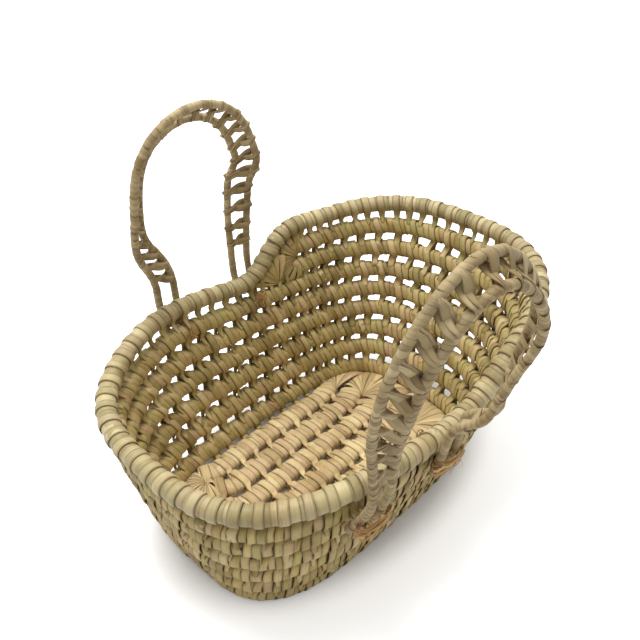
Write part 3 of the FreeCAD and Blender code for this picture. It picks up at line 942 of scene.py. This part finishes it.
def floor_fans():
    """Half fans round the hairpin turns of the floor coils and quarter fans in the head corners."""
    edge = (rings[0].line * np.array((1, 1, 0)), FAN_EDGE_GAP)

    def place(name, x, y, start, end, low, high):
        origin = np.array((x, y, FLOOR_MIDDLE_Z))

        def radius_at(angle):
            far = reach(origin * (1, 1, 0), X_AXIS, Y_AXIS, [edge], angle)
            rise = math.sin(angle)
            if rise > 0.05:
                far = min(far, (high - y) / rise)
            if rise < -0.05:
                far = min(far, (low - y) / rise)
            return max(far, 6 * MM)

        leaves = Leaves()
        fan(leaves, origin, X_AXIS, Y_AXIS, Z_AXIS, start, end, radius_at, FAN_HALF_HEIGHT, FAN_LEAF_ANGLE)
        leaves.cover(name, [floor_leaf, bundle], "floor_leaf")

    half = math.pi / 2
    lines = [coil.line for coil in floor]
    between = [0.5 * (a[-1][1] + b[-1][1]) for a, b in zip(lines, lines[1:])]
    at_foot = [0.5 * (a[0][1] + b[0][1]) for a, b in zip(lines, lines[1:])]
    head_x = [line[-1][0] for line in lines]
    foot_x = [line[0][0] for line in lines]
    gap = 0.6 * MM
    place("floor_fan_head_1", head_x[0] + gap, between[0] + FAN_CORNER, -FAN_CORNER_LAP, half,
          between[0] - FAN_CORNER, 1)
    place("floor_fan_head_2", head_x[1] + gap, between[1], -half, half, between[2], between[0])
    place("floor_fan_head_3", head_x[3] + gap, between[3], -half, half, between[4], between[2])
    place("floor_fan_head_4", head_x[5] + gap, between[4] - FAN_CORNER, -half, FAN_CORNER_LAP,
          -1, between[4] + FAN_CORNER)
    place("floor_fan_foot_1", foot_x[0] - gap, at_foot[0], half, 3 * half, at_foot[1], 1)
    place("floor_fan_foot_2", foot_x[2] - gap, at_foot[2], half, 3 * half, at_foot[3], at_foot[1])
    place("floor_fan_foot_3", foot_x[5] - gap, at_foot[4], half, 3 * half, -1, at_foot[3])


# ---- step

def step_fans():
    """The hairpin turn of the two head coils on each side, and the small fan below it."""
    for side, way in (("left", 1), ("right", -1)):
        ends = [0 if way > 0 else coil.length for coil in head]
        low, high = (coil.point(end) for coil, end in zip(head, ends))
        face = head[0].at(head[0].face, ends[0])
        foot_way = -way * head[0].at(head[0].along, ends[0])
        up = unit(high - low)
        foot_way = unit(foot_way - up * (foot_way @ up))
        normal = unit(face - up * (face @ up) - foot_way * (face @ foot_way))
        apex = 0.5 * (low + high) - foot_way * APEX_BACK
        lines = [(rim.line, RIM_RADIUS - 1.0 * MM), (rings[-1].line, WALL_HALF_HEIGHT - 1.0 * MM)]

        def radius_at(angle):
            far = reach(apex, foot_way, up, lines, angle)
            return min(max(far, 8 * MM), TURN_REACH)

        leaves = Leaves()
        fan(leaves, apex, foot_way, up, normal, -TURN_END, TURN_END, radius_at, WALL_HALF_THICKNESS,
            TURN_LEAF_ANGLE)
        leaves.cover("head_turn_" + side, [wall_leaf, bundle], "wall_leaf")

        box_low, box_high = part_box("step_fill_" + side)
        fill = 0.5 * (np.array(box_low) + np.array(box_high))
        origin = fill - foot_way * 16 * MM - up * 5 * MM

        def small_radius_at(angle):
            far = reach(origin, foot_way, up, lines[:1], angle)
            return min(max(far, 6 * MM), STEP_REACH)

        leaves = Leaves()
        fan(leaves, origin, foot_way, up, normal, STEP_START, STEP_END, small_radius_at, STEP_HALF_HEIGHT,
            STEP_LEAF_ANGLE)
        leaves.cover("step_fill_" + side, [wall_leaf, bundle], "wall_leaf")


# ---- handles

def joint_of(body):
    """The joint that moves a body."""
    return next(joint for joint in frame["joints"] if joint["child"] == body)


def tail_points(side, x, top):
    """Middle of a tail's bottom and top end, for the tail at this x."""
    points, _ = node_mesh(side + "_handle_tails")
    tail = points[np.abs(points[:, 0] - x) < CORD_RADIUS + 2 * MM]
    found = []
    for end in ((tail[:, 2].min() + CORD_RADIUS), (tail[:, 2].max() - CORD_RADIUS)):
        near = tail[np.abs(tail[:, 2] - end) < CORD_RADIUS]
        found.append(np.array((x, middle(near[:, 1]), end)))
    return found[::-1] if top else found


def handle_cords(side, pivot):
    """The two cords of a handle from tail to tail, as coils whose up runs across the handle."""
    low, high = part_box(side + "_handle_outer_cord")
    origin = np.array((0.5 * (low.x + high.x), 0.0, low.z + 0.45 * (high.z - low.z)))
    angles = np.radians(np.linspace(262, -82, HANDLE_SLICES))
    lines = []
    for name in ("_handle_outer_cord", "_handle_inner_cord"):
        line = spun_centres(side + name, origin, X_AXIS, Z_AXIS, angles)
        line = line[line[:, 2] > pivot[2] + 8 * MM]
        start, end = line[0], line[-1]
        foot = np.array((start[0], pivot[1], pivot[2]))
        last = np.array((end[0], pivot[1], pivot[2]))
        rise = np.array((0, 0, 4 * MM))
        whole = np.vstack([tail_points(side, start[0], False), foot - rise, foot + rise, line,
                           last + rise, last - rise, tail_points(side, end[0], True)])
        lines.append(whole)
    outer, inner = lines
    share_outer = np.linspace(0, 1, len(outer))
    share_inner = np.linspace(0, 1, len(inner))
    partner = sampled(inner, share_inner, share_outer)
    back = sampled(outer, share_outer, share_inner)
    return (Coil(outer, unit(outer - partner), CORD_RADIUS, CORD_RADIUS, False),
            Coil(inner, unit(back - inner), CORD_RADIUS, CORD_RADIUS, False))


def cord_wraps(leaves, cord, start, end):
    """Core and narrow wraps of a cord between two places."""
    core(leaves, cord, start, end, 0.8 * MM)
    spot = start
    while spot < end:
        width = CORD_WRAP * vary(0.7, 1.4)
        wrap(leaves, cord, spot + width / 2, width + 0.7 * MM, vary(0.5, 1.6) * MM,
             rise=vary(-0.2, 0.1) * MM, steps=CORD_STEPS, crown=0.35 * MM, rough=0.4)
        spot += width


def figure_eight(leaves, centre, across, depth, along, half, lean, width):
    """A leaf that loops round both cords and crosses between them."""
    ring = CORD_RADIUS + vary(-0.2, 0.1) * MM
    shift = 1.6 * MM
    marks = []
    for sign, crossing in ((1, (0, -0.5 * MM, -shift)), (-1, (0, 0.9 * MM, shift))):
        marks += [(sign * half * 0.55, ring * 0.9, sign * shift), (sign * half, ring, 0),
                  (sign * (half + ring), 0, 0), (sign * half, -ring, -sign * shift * 0.5),
                  (sign * half * 0.5, -ring * 0.8, -sign * shift), crossing]
    points = []
    for out, front, step in marks:
        points.append(centre + across * out + depth * front + along * (step + lean * out / half))
    looped = np.vstack([points[-1:], points, points[:2]])
    spine = through(looped, 3 * (len(looped) - 1) + 1)[3:-6]
    share = circle(len(spine))
    near_cord = np.clip(np.abs((spine - centre) @ across) / half, 0, 1)
    widths = width * (1.0 - 0.5 * near_cord ** 2)
    side = np.repeat(along[None, :], len(spine), 0)
    side = side + 0.35 * np.sin(share + 0.6)[:, None] * depth
    strip(leaves, spine, side, widths, vary(), crown=0.5 * MM, depth=0.5 * MM, closed=True)


def lacing(leaves, outer, inner, start, end):
    """Figure-eight leaves at an even pitch; start and end are shares of the cords' length."""
    count = round((end - start) * 0.5 * (outer.length + inner.length) / LACE_PITCH)
    for i in range(count + 1):
        share = start + (end - start) * np.clip(i + vary(-0.06, 0.06), 0, count) / count
        first, second = outer.length * share, inner.length * share
        top = outer.point(first)
        bottom = inner.point(second)
        across = unit(top - bottom)
        along = outer.at(outer.along, first)
        along = unit(along - across * (along @ across))
        depth = np.cross(along, across)
        half = 0.5 * np.linalg.norm(top - bottom)
        centre = 0.5 * (top + bottom)
        for offset, scale in ((-0.6, 1.0), (1.8, 0.7)):
            middle_point = centre + along * (offset + vary(-0.5, 0.5)) * MM
            figure_eight(leaves, middle_point, across, depth, along, half,
                         vary(1.0, 3.0) * MM, LACE_WIDTH * scale)


def make_handle(side):
    """One handle: two cords and their lacing, with feet that run from the tails across the hinge."""
    body = side + "_handle"
    pivot = np.array(joint_of(body)["pos_m"])
    outer, inner = handle_cords(side, pivot)
    feet = Leaves()
    split = pivot[2] + FOOT_TOP_ABOVE_PIVOT
    for name, cord in (("outer", outer), ("inner", inner)):
        above = cord.place[cord.line[:, 2] > split]
        start, end = above[0], above[-1]
        leaves = Leaves()
        cord_wraps(leaves, cord, start, end)
        node_name = "%s_%s_cord" % (body, name)
        leaves.cover(node_name, [handle_leaf, bundle], "handle_leaf", body)
        cord_wraps(feet, cord, 1 * MM, start)
        cord_wraps(feet, cord, end, cord.length - 1 * MM)
        shares = start / cord.length, end / cord.length
    laces = Leaves()
    lacing(laces, outer, inner, shares[0] + 0.01, shares[1] - 0.01)
    if side == "left":
        loose_hairs(laces, outer, inner)
    laces.cover(body + "_lacing", [handle_leaf, bundle], "handle_leaf", body)
    piece = feet.build(body + "_feet", None, [handle_leaf, bundle], [body + "_tails"])
    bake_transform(piece)


def loose_hairs(leaves, outer, inner):
    """Splinters and fine curved hairs that have come loose from a handle."""
    leg = inner.point(0.2 * inner.length)
    for _ in range(5):
        start = leg + (0, 0, vary(-14, 10) * MM)
        bow = start + np.array((vary(5, 9), 0, vary(-16, -8))) * MM
        end = bow + np.array((vary(-4, 3), vary(-3, 3), vary(-16, -8))) * MM
        fibre_strand(leaves, [start, bow, end], 0.9 * MM)
    splinter = leg + np.array((0, 0, -18 * MM))
    knot = outer.point(0.88 * outer.length)
    thick = ((splinter, (6, 0, -1), (13, -1, 3), 2.2), (knot, (4, 0, 0), (8, 0, -2), 2.4))
    for start, bow, end, width in thick:
        fibre_strand(leaves, [start, start + np.array(bow) * MM, start + np.array(end) * MM], width * MM)


# ---- lashings and loose fibres

def fibre_loop(leaves, centre, radii, tilt, width):
    """A loose closed loop of fibre round a centre, flattened and tilted."""
    count = 16
    turn = circle(count)
    wobble = 1 + 0.14 * np.sin(2 * turn + vary(0, ANY_ANGLE))
    wobble = wobble + 0.1 * np.sin(3 * turn + vary(0, ANY_ANGLE))
    flat = np.stack([np.cos(turn) * radii[0] * wobble, np.sin(turn) * radii[1] * wobble,
                     np.sin(turn + vary(0, ANY_ANGLE)) * radii[2]], 1)
    cosine, sine = math.cos(tilt), math.sin(tilt)
    turned = flat @ np.array(((cosine, 0, sine), (0, 1, 0), (-sine, 0, cosine))).T
    spine = centre + turned
    strip(leaves, spine, np.tile(Z_AXIS, (count, 1)), np.full(count, width), vary(),
          crown=0.35 * MM, depth=0.35 * MM, closed=True)


def fibre_strand(leaves, marks, width):
    """A loose strand through a few points, thinning out to its end."""
    spine = through(marks, 5 * len(marks))
    widths = np.linspace(width, 0.3 * width, len(spine))
    side = np.tile(unit(draw.normal(size=3)), (len(spine), 1))
    strip(leaves, spine, side, widths, vary(), crown=0.3 * MM, depth=0.3 * MM)


def make_lashing(side, end):
    """Fibre tied round a pair of cord tails and through the wall, with a knot inside."""
    name = "%s_lashing_%s_side" % (side, end)
    points, _ = node_mesh(name)
    way = 1 if side == "left" else -1
    depth = points[:, 1] * way
    split = middle(depth)
    outer, inner = points[depth > split], points[depth <= split]
    out = np.array([middle(outer[:, i]) for i in range(3)])
    knot = np.array([middle(inner[:, i]) for i in range(3)])
    half = 0.5 * (outer[:, 0].max() - outer[:, 0].min())
    leaves = Leaves()
    tie = out - np.array((0, way * 6.5 * MM, 0))
    for _ in range(13):
        centre = tie + draw.normal(0, 1, 3) * (0.8 * MM, 0.4 * MM, 3.2 * MM)
        radii = ((half - 1 * MM) * vary(0.88, 1.0), 6.3 * MM * vary(0.95, 1.1), 2 * MM)
        fibre_loop(leaves, centre, radii, vary(-0.12, 0.12), vary(1.2, 2.6) * MM)
    for _ in range(9):
        start = tie + draw.normal(0, 1, 3) * (5 * MM, 1 * MM, 3 * MM)
        finish = knot + draw.normal(0, 1, 3) * (2.5 * MM, 0.8 * MM, 3 * MM)
        over = 0.5 * (start + finish) + draw.normal(0, 1, 3) * (3 * MM, 1 * MM, 1 * MM)
        fibre_strand(leaves, [start, over, finish], vary(1.0, 2.0) * MM)
    for _ in range(10):
        size = vary(3.0, 6.5) * MM
        centre = knot + draw.normal(0, 1, 3) * (1.5 * MM, 0.5 * MM, 2 * MM)
        radii = (size, 1.8 * MM, size * 0.6)
        fibre_loop(leaves, centre, radii, vary(0, 3.1), vary(0.9, 2.0) * MM)
    for _ in range(16):
        base = (knot if vary() < 0.5 else out) + draw.normal(0, 1, 3) * 2 * MM
        swing = draw.normal(0, 1, 3) * (7 * MM, 2 * MM, 7 * MM)
        droop = draw.normal(0, 1, 3) * (3 * MM, 1.5 * MM, 3 * MM) - (0, 0, 3 * MM)
        fibre_strand(leaves, [base, base + 0.5 * swing, base + swing + droop], vary(0.4, 1.0) * MM)
    leaves.build(name + "_fibre", "basket", [fibre], [name])


# ---- stage, light and camera

def mapped(tree, source, from_low, from_high, to_low, to_high, kind):
    """A value mapped from one range to another."""
    made = node(tree, "ShaderNodeMapRange", interpolation_type=kind)
    ends = {"From Min": from_low, "From Max": from_high, "To Min": to_low, "To Max": to_high}
    for key, value in ends.items():
        made.inputs[key].default_value = value
    tree.links.new(source, made.inputs["Value"])
    return made.outputs[0]


def floor_material():
    """Matte white floor that glows faintly, for the camera only, outside the basket's footprint."""
    material, tree, shader = new_material("studio_floor")
    shader.inputs["Base Color"].default_value = FLOOR_COLOUR
    shader.inputs["Roughness"].default_value = FLOOR_ROUGHNESS
    place = node(tree, "ShaderNodeTexCoord").outputs["Object"]
    scaled = node(tree, "ShaderNodeVectorMath", operation="MULTIPLY")
    scaled.inputs[1].default_value = (1 / FOOTPRINT[0], 1 / FOOTPRINT[1], 0)
    tree.links.new(place, scaled.inputs[0])
    length = node(tree, "ShaderNodeVectorMath", operation="LENGTH")
    tree.links.new(scaled.outputs[0], length.inputs[0])
    away = mapped(tree, length.outputs["Value"], GLOW_FROM, GLOW_TO, 0.0, FLOOR_GLOW, "SMOOTHSTEP")
    seen = node(tree, "ShaderNodeLightPath").outputs["Is Camera Ray"]
    shader.inputs["Emission Color"].default_value = (1, 1, 1, 1)
    tree.links.new(maths(tree, "MULTIPLY", away, seen), shader.inputs["Emission Strength"])
    return material


def area_light(name, place, target, size, power):
    """Soft square light that looks at a point."""
    light = bpy.data.lights.new(name, "AREA")
    light.size = size
    light.energy = power
    holder = bpy.data.objects.new(name, light)
    holder.location = place
    holder.rotation_euler = (Vector(target) - Vector(place)).to_track_quat("-Z", "Y").to_euler()
    bpy.context.scene.collection.objects.link(holder)


def make_stage():
    """Pale floor, white surroundings and soft light from above and behind."""
    mesh = bpy.data.meshes.new("studio_floor")
    corners = [(x * FLOOR_REACH, y * FLOOR_REACH, 0) for x, y in ((-1, -1), (1, -1), (1, 1), (-1, 1))]
    mesh.from_pydata(corners, [], [(0, 1, 2, 3)])
    ground = bpy.data.objects.new("studio_floor", mesh)
    mesh.materials.append(floor_material())
    bpy.context.scene.collection.objects.link(ground)
    world = bpy.data.worlds.new("studio")
    bpy.context.scene.world = world
    world.use_nodes = True
    tree = world.node_tree
    look = node(tree, "ShaderNodeTexCoord").outputs["Generated"]
    towards = node(tree, "ShaderNodeVectorMath", operation="DOT_PRODUCT")
    tree.links.new(look, towards.inputs[0])
    towards.inputs[1].default_value = SKY_DIRECTION
    level = mapped(tree, towards.outputs["Value"], SKY_DARK_FROM, 1.0, SKY_DARK, SKY_BRIGHT, "LINEAR")
    background = tree.nodes["Background"]
    background.inputs[0].default_value = (1, 1, 1, 1)
    seen = node(tree, "ShaderNodeLightPath").outputs["Is Camera Ray"]
    tree.links.new(maths(tree, "MAXIMUM", level, seen), background.inputs[1])
    area_light("key", KEY_PLACE, KEY_TARGET, KEY_SIZE, KEY_POWER)
    scene = bpy.context.scene
    scene.view_settings.view_transform = "Standard"


def make_camera():
    """Camera above the foot end's right corner."""
    azimuth, elevation = math.radians(CAMERA_AZIMUTH), math.radians(CAMERA_ELEVATION)
    back = Vector((math.sin(azimuth) * math.cos(elevation), -math.cos(azimuth) * math.cos(elevation),
                   math.sin(elevation)))
    data = bpy.data.cameras.new("camera")
    data.lens = CAMERA_LENS
    data.sensor_width = SENSOR
    data.clip_start = 0.01
    camera = bpy.data.objects.new("camera", data)
    camera.location = CAMERA_TARGET + back * CAMERA_DISTANCE
    camera.rotation_mode = "QUATERNION"
    camera.rotation_quaternion = (-back).to_track_quat("-Z", "Y")
    bpy.context.scene.collection.objects.link(camera)
    bpy.context.scene.camera = camera


def rim_core_bundle():
    """The bundle inside the rim's wraps, fluted by its fibres."""
    leaves = Leaves()
    place = np.linspace(0, rim.length, 360, endpoint=False)[:, None]
    angle = circle(36)[None, :]
    lift = -2.6 * MM + 0.35 * MM * np.sin(9 * angle + place * 40)
    shape = np.broadcast_arrays(place, angle, lift)
    leaves.add(rim.skin(*shape), place, angle / np.pi, 0.5, True)
    leaves.build("rim_core_bundle", "basket", [bundle], ["rim_core"])


wall()
rim_core_bundle()
floor_edge()
floor_rows()
floor_fans()
step_fans()
for handle_side in ("left", "right"):
    make_handle(handle_side)
    for lashing_end in ("foot", "head"):
        make_lashing(handle_side, lashing_end)
make_stage()
make_camera()
